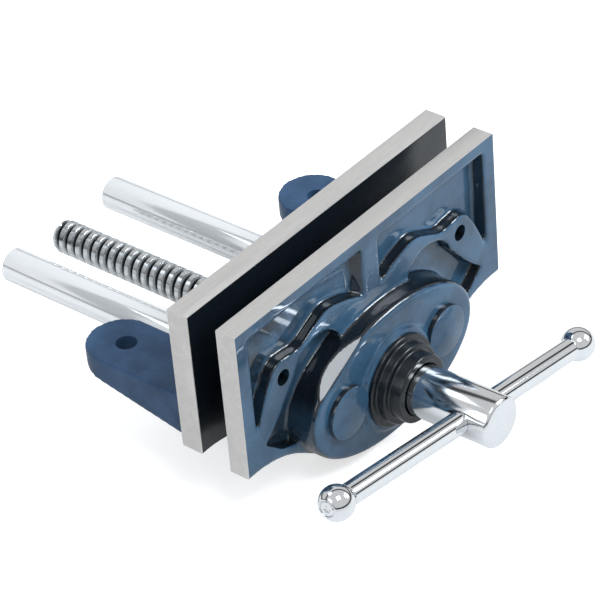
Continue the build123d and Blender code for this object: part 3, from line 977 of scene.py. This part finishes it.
class VISE_OT_nut(bpy.types.Operator):
    """Makes the flanged bronze nut and its two slotted screws"""

    bl_idname = "vise.nut"
    bl_label = "Nut and Nut Screws"

    def execute(self, context):
        finish_piece(
            make_nut(), "spindle_nut", "fixed_jaw", ["screw_nut"],
            [finish_of("bronze")])
        for side, name in ((-1, "left"), (1, "right")):
            finish_piece(
                make_nut_screw(side * BOLT_X), f"nut_screw_{name}", "fixed_jaw",
                ["nut_screws"], [finish_of("plain steel")])
        return {"FINISHED"}


# ---- handle ----
def put_on_bar(bm):
    """Turns something made along Y so that it lies on the bar's axis, right end lower."""
    lie = (Matrix.Translation((0, BAR_Y, SCREW_Z)) @ Matrix.Rotation(sizes().bar_tilt, 4, "Y")
           @ Matrix.Rotation(-math.pi / 2, 4, "Z"))
    bmesh.ops.transform(bm, matrix=lie, verts=bm.verts)
    return bm


class VISE_OT_head(bpy.types.Operator):
    """Turns the round head and drills it across for the bar"""

    bl_idname = "vise.head"
    bl_label = "Spindle Head"

    def execute(self, context):
        radius = (HEAD_HIGH.z - HEAD_LOW.z) / 2
        near, far = HEAD_LOW.y, HEAD_HIGH.y
        profile = [
            (0, near), (radius - HEAD_CHAMFER, near), (radius, near + HEAD_CHAMFER),
            (radius, far), (0, far)]
        head = solid(moved(soften(turned(profile, 160), 0.45, 3, 20), z=SCREW_Z), "head")
        hole = round_bar(sizes().bar_diameter / MM / 2 + 0.1, 30, -30, steps=96)
        work(head, put_on_bar(hole), "DIFFERENCE")
        work(head, on_screw(HEAD_SOCKET, far + 1, far - HEAD_SOCKET_DEPTH), "DIFFERENCE")
        finish_piece(
            head, "spindle_head", "screw", ["screw_head"],
            [finish_of("turned chrome")], 25)
        return {"FINISHED"}


def bar_profile(radius):
    """The bar from end to end: thinner tails through the knobs, their tips riveted over."""
    shoulder, tip = BAR_REACH - HALF_KNOB, BAR_REACH + HALF_KNOB
    end = [
        (radius, shoulder - 0.3), (radius - 0.3, shoulder), (BAR_TAIL, shoulder),
        (BAR_TAIL, tip - 0.5), (BAR_TAIL - 0.5, tip), (1.6, tip), (0.9, tip - 0.7), (0, tip - 0.9)]
    return [(r, -y) for r, y in reversed(end)] + end


def make_knob(ball):
    """A ball of the given radius with two flat ends and a hole for the bar's tail."""
    lean = math.atan2(HALF_KNOB, math.sqrt(ball ** 2 - HALF_KNOB ** 2))
    steps = 24
    turns = [-lean + 2 * lean * i / steps for i in range(steps + 1)]
    hole = BAR_TAIL + 0.02
    shape = [(hole, -HALF_KNOB)]
    shape += [(ball * math.cos(turn), ball * math.sin(turn)) for turn in turns]
    shape += [(BAR_TAIL + 0.35, HALF_KNOB), (hole, HALF_KNOB - 0.4)]
    return turned(shape, 96, closed=True)


class VISE_OT_handle_bar(bpy.types.Operator):
    """Makes the sliding bar and the two knobs riveted on its ends"""

    bl_idname = "vise.handle_bar"
    bl_label = "Handle Bar and Knobs"

    def execute(self, context):
        s = sizes()
        bar = moved(turned(bar_profile(s.bar_diameter / MM / 2), 96), y=BAR_OFFSET)
        finish_piece(
            solid(put_on_bar(bar)), "handle_bar", "handle_bar", ["tommy_bar"],
            [finish_of("chrome")], 30)
        for side, name in ((-1, "left"), (1, "right")):
            knob = make_knob(s.knob_diameter / MM / 2)
            if side < 0:
                about = Matrix.Rotation(math.pi, 3, "Z")
                bmesh.ops.rotate(knob, cent=(0, 0, 0), matrix=about, verts=knob.verts)
            moved(knob, y=BAR_OFFSET + side * BAR_REACH)
            finish_piece(
                solid(put_on_bar(knob)), f"knob_{name}", "handle_bar",
                [f"bar_knob_{name}"], [finish_of("chrome")], 40)
        return {"FINISHED"}


class VISE_OT_small_hardware(bpy.types.Operator):
    """Gives the hidden washers, collar and pins their finish"""

    bl_idname = "vise.small_hardware"
    bl_label = "Washers, Collar and Pins"

    def execute(self, context):
        for name in ("head_washer", "collar_washer", "retaining_collar", "collar_pin",
                     "head_pin", "guide_rod_pins"):
            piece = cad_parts[name]
            piece.data.materials.clear()
            piece.data.materials.append(finish_of("plain steel"))
        return {"FINISHED"}


# ---- stage ----
def soft_light(name, place, aim, size, power, spread=180):
    """A soft light of the given width and height; less spread keeps it on what it is aimed at."""
    data = bpy.data.lights.new(name, "AREA")
    data.shape = "RECTANGLE"
    data.size, data.size_y = size
    data.energy = power
    data.color = LIGHT_COLOUR
    data.spread = math.radians(spread)
    lamp = new_object(name, data)
    lamp.location = place
    lamp.rotation_mode = "QUATERNION"
    lamp.rotation_quaternion = (Vector(aim) - Vector(place)).to_track_quat("-Z", "Y")


def toward(tree, way, aim):
    """How closely a direction points at the aim, 1 being straight at it."""
    n = tree.nodes.new("ShaderNodeVectorMath")
    n.operation = "DOT_PRODUCT"
    tree.links.new(way, n.inputs[0])
    n.inputs[1].default_value = Vector(aim).normalized()
    return n.outputs["Value"]


def seen_directly(tree):
    return tree.nodes.new("ShaderNodeLightPath").outputs["Is Camera Ray"]


def make_floor():
    """A pale floor, dimmer in reflections so that it doesn't veil the enamel."""
    bm = bmesh.new()
    bmesh.ops.create_grid(bm, x_segments=1, y_segments=1, size=20.0)
    floor = solid(moved(bm, z=CAD_BOX[0].z - 0.0003), "floor")
    material, tree, look, places = new_material("Studio Floor")
    tint = tuple(finishes().floor)
    seen = seen_directly(tree)
    pale = blended(tree, noise(tree, places["Object"], 3.0), tint, darker(tint, 0.99))
    tree.links.new(blended(tree, seen, darker(tint, 0.85), pale), look["Base Color"])
    look["Roughness"].default_value = 0.9
    look["Specular IOR Level"].default_value = 0.1
    look["Emission Color"].default_value = (1, 1, 1, 1)
    tree.links.new(spread(tree, seen, 0.0, 1.0, 0.15, 0.60), look["Emission Strength"])
    floor.data.materials.append(material)


def make_surroundings(scene):
    """Pale surroundings with a dark horizon, a dark beam and a dark card for bright metal."""
    world = bpy.data.worlds.new("Studio")
    scene.world = world
    world.use_nodes = True
    tree = world.node_tree
    back = next(n for n in tree.nodes if n.type == "BACKGROUND").inputs
    way = tree.nodes.new("ShaderNodeTexCoord").outputs["Generated"]
    horizon = spread(tree, axes_of(tree, way)["Z"], 0.10, 0.19, 0.03, 1.0)
    off_beam = math_node(tree, "ABSOLUTE", toward(tree, way, (0.40, 0.743, -0.535)))
    beam = spread(tree, off_beam, 0.05, 0.11, 0.06, 1.0)
    card = spread(tree, toward(tree, way, (-0.83, 0.538, 0.14)), 0.972, 0.988, 1.0, 0.06)
    light = math_node(tree, "MULTIPLY", math_node(tree, "MULTIPLY", horizon, beam), card)
    white = math_node(tree, "MULTIPLY", seen_directly(tree), 1.5)
    tree.links.new(math_node(tree, "MAXIMUM", light, white), back["Color"])
    back["Strength"].default_value = 0.70


def make_camera(scene):
    """A long lens from the front left, above the jaws."""
    data = bpy.data.cameras.new("Camera")
    data.sensor_width = 36.0
    data.lens = CAMERA_LENS
    data.clip_start, data.clip_end = 0.01, 100.0
    camera = new_object("Camera", data)
    azimuth, elevation = math.radians(CAMERA_AZIMUTH), math.radians(CAMERA_ELEVATION)
    back_way = Vector((
        math.sin(azimuth) * math.cos(elevation), -math.cos(azimuth) * math.cos(elevation),
        math.sin(elevation)))
    lean = Matrix.Rotation(math.radians(CAMERA_ROLL), 3, back_way).to_quaternion()
    camera.rotation_mode = "QUATERNION"
    camera.rotation_quaternion = lean @ (-back_way).to_track_quat("-Z", "Y")
    camera.location = CAMERA_PLACE
    scene.camera = camera


class VISE_OT_stage(bpy.types.Operator):
    """Sets up the pale floor, the soft lights and the camera"""

    bl_idname = "vise.stage"
    bl_label = "Stage"

    def execute(self, context):
        context.scene.view_settings.view_transform = "Standard"
        make_floor()
        make_surroundings(context.scene)
        soft_light("high_back", (-0.22, 0.56, 1.0), OVER_FRONT, (0.42, 0.35), 0.9)
        soft_light("high_front", (-0.25, -0.60, 1.06), OVER_FRONT, (0.4, 0.4), 5.5)
        soft_light(
            "front_right", (0.75, -0.75, 0.65), (0.07, -0.08, 0), (0.45, 0.45), 0.9, spread=40)
        soft_light("left", (-1.3, 0.2, 0.9), (0, -0.05, 0), (0.7, 0.7), 6)
        make_camera(context.scene)
        return {"FINISHED"}


class VISE_PT_panel(bpy.types.Panel):
    """Lists the vise's pieces, sizes and finishes in the sidebar"""

    bl_label = "Woodworking Vise"
    bl_idname = "VISE_PT_panel"
    bl_space_type = "VIEW_3D"
    bl_region_type = "UI"
    bl_category = "Vise"

    def draw(self, context):
        layout = self.layout
        for operator in OPERATORS:
            layout.operator(operator.bl_idname)
        for group in (context.scene.vise_sizes, context.scene.vise_finishes):
            box = layout.box()
            for name in group.__annotations__:
                box.prop(group, name)


OPERATORS = (
    VISE_OT_rear_jaw, VISE_OT_front_jaw, VISE_OT_guide_rods, VISE_OT_spindle, VISE_OT_nut,
    VISE_OT_head, VISE_OT_handle_bar, VISE_OT_small_hardware, VISE_OT_stage,
)
CLASSES = (VISE_PG_sizes, VISE_PG_finishes, *OPERATORS, VISE_PT_panel)


def register():
    for cls in CLASSES:
        bpy.utils.register_class(cls)
    bpy.types.Scene.vise_sizes = PointerProperty(type=VISE_PG_sizes)
    bpy.types.Scene.vise_finishes = PointerProperty(type=VISE_PG_finishes)


def unregister():
    del bpy.types.Scene.vise_finishes
    del bpy.types.Scene.vise_sizes
    for cls in reversed(CLASSES):
        bpy.utils.unregister_class(cls)


def main():
    register()
    for operator in OPERATORS:
        family, name = operator.bl_idname.split(".")
        getattr(getattr(bpy.ops, family), name)()


if __name__ == "__main__":
    main()
